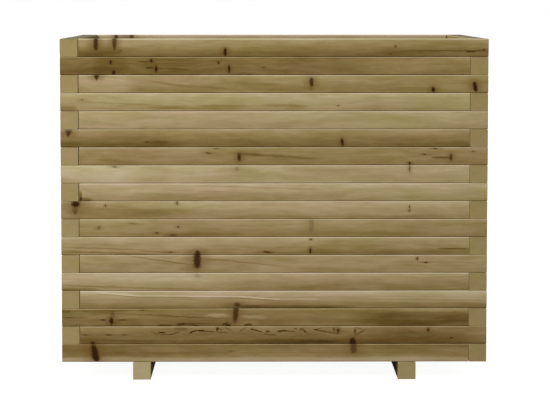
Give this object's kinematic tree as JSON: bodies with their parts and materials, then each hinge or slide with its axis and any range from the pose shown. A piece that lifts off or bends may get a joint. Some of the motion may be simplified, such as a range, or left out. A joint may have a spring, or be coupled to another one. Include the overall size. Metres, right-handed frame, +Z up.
{
  "type": "raised planter",
  "caption": "Tall rectangular timber planter of stacked square battens lapped at the corners, open at the top, with a slatted floor on bearers.",
  "frame": {"origin": "on the ground under the middle of the planter", "axes": "+Z up, +X along the length to the right as seen from the front, front towards -Y"},
  "size_m": [0.9, 0.6, 0.722],
  "materials": {
    "batten_wood": "planed softwood, pressure treated, bare",
    "bearer_wood": "planed softwood, pressure treated, bare",
    "floor_wood": "sawn softwood, pressure treated, bare",
    "screw_steel": "zinc plated, yellow passivated"
  },
  "bodies": {
    "root": {"front_batten_01": "batten_wood", "back_batten_01": "batten_wood", "side_battens_01": "batten_wood", "front_batten_02": "batten_wood", "back_batten_02": "batten_wood", "side_battens_02": "batten_wood", "front_batten_03": "batten_wood", "back_batten_03": "batten_wood", "side_battens_03": "batten_wood", "front_batten_04": "batten_wood", "back_batten_04": "batten_wood", "side_battens_04": "batten_wood", "front_batten_05": "batten_wood", "back_batten_05": "batten_wood", "side_battens_05": "batten_wood", "front_batten_06": "batten_wood", "back_batten_06": "batten_wood", "side_battens_06": "batten_wood", "front_batten_07": "batten_wood", "back_batten_07": "batten_wood", "side_battens_07": "batten_wood", "front_batten_08": "batten_wood", "back_batten_08": "batten_wood", "side_battens_08": "batten_wood", "front_batten_09": "batten_wood", "back_batten_09": "batten_wood", "side_battens_09": "batten_wood", "front_batten_10": "batten_wood", "back_batten_10": "batten_wood", "side_battens_10": "batten_wood", "front_batten_11": "batten_wood", "back_batten_11": "batten_wood", "side_battens_11": "batten_wood", "front_batten_12": "batten_wood", "back_batten_12": "batten_wood", "side_battens_12": "batten_wood", "front_batten_13": "batten_wood", "back_batten_13": "batten_wood", "side_battens_13": "batten_wood", "front_batten_14": "batten_wood", "back_batten_14": "batten_wood", "side_battens_14": "batten_wood", "front_batten_15": "batten_wood", "back_batten_15": "batten_wood", "side_battens_15": "batten_wood", "front_batten_16": "batten_wood", "back_batten_16": "batten_wood", "side_battens_16": "batten_wood", "front_batten_17": "batten_wood", "back_batten_17": "batten_wood", "side_battens_17": "batten_wood", "front_batten_18": "batten_wood", "back_batten_18": "batten_wood", "side_battens_18": "batten_wood", "left_bearer": "bearer_wood", "right_bearer": "bearer_wood", "floor_slats": "floor_wood", "course_screws": "screw_steel", "bearer_screws": "screw_steel", "floor_screws": "screw_steel"}
  },
  "joints": []
}
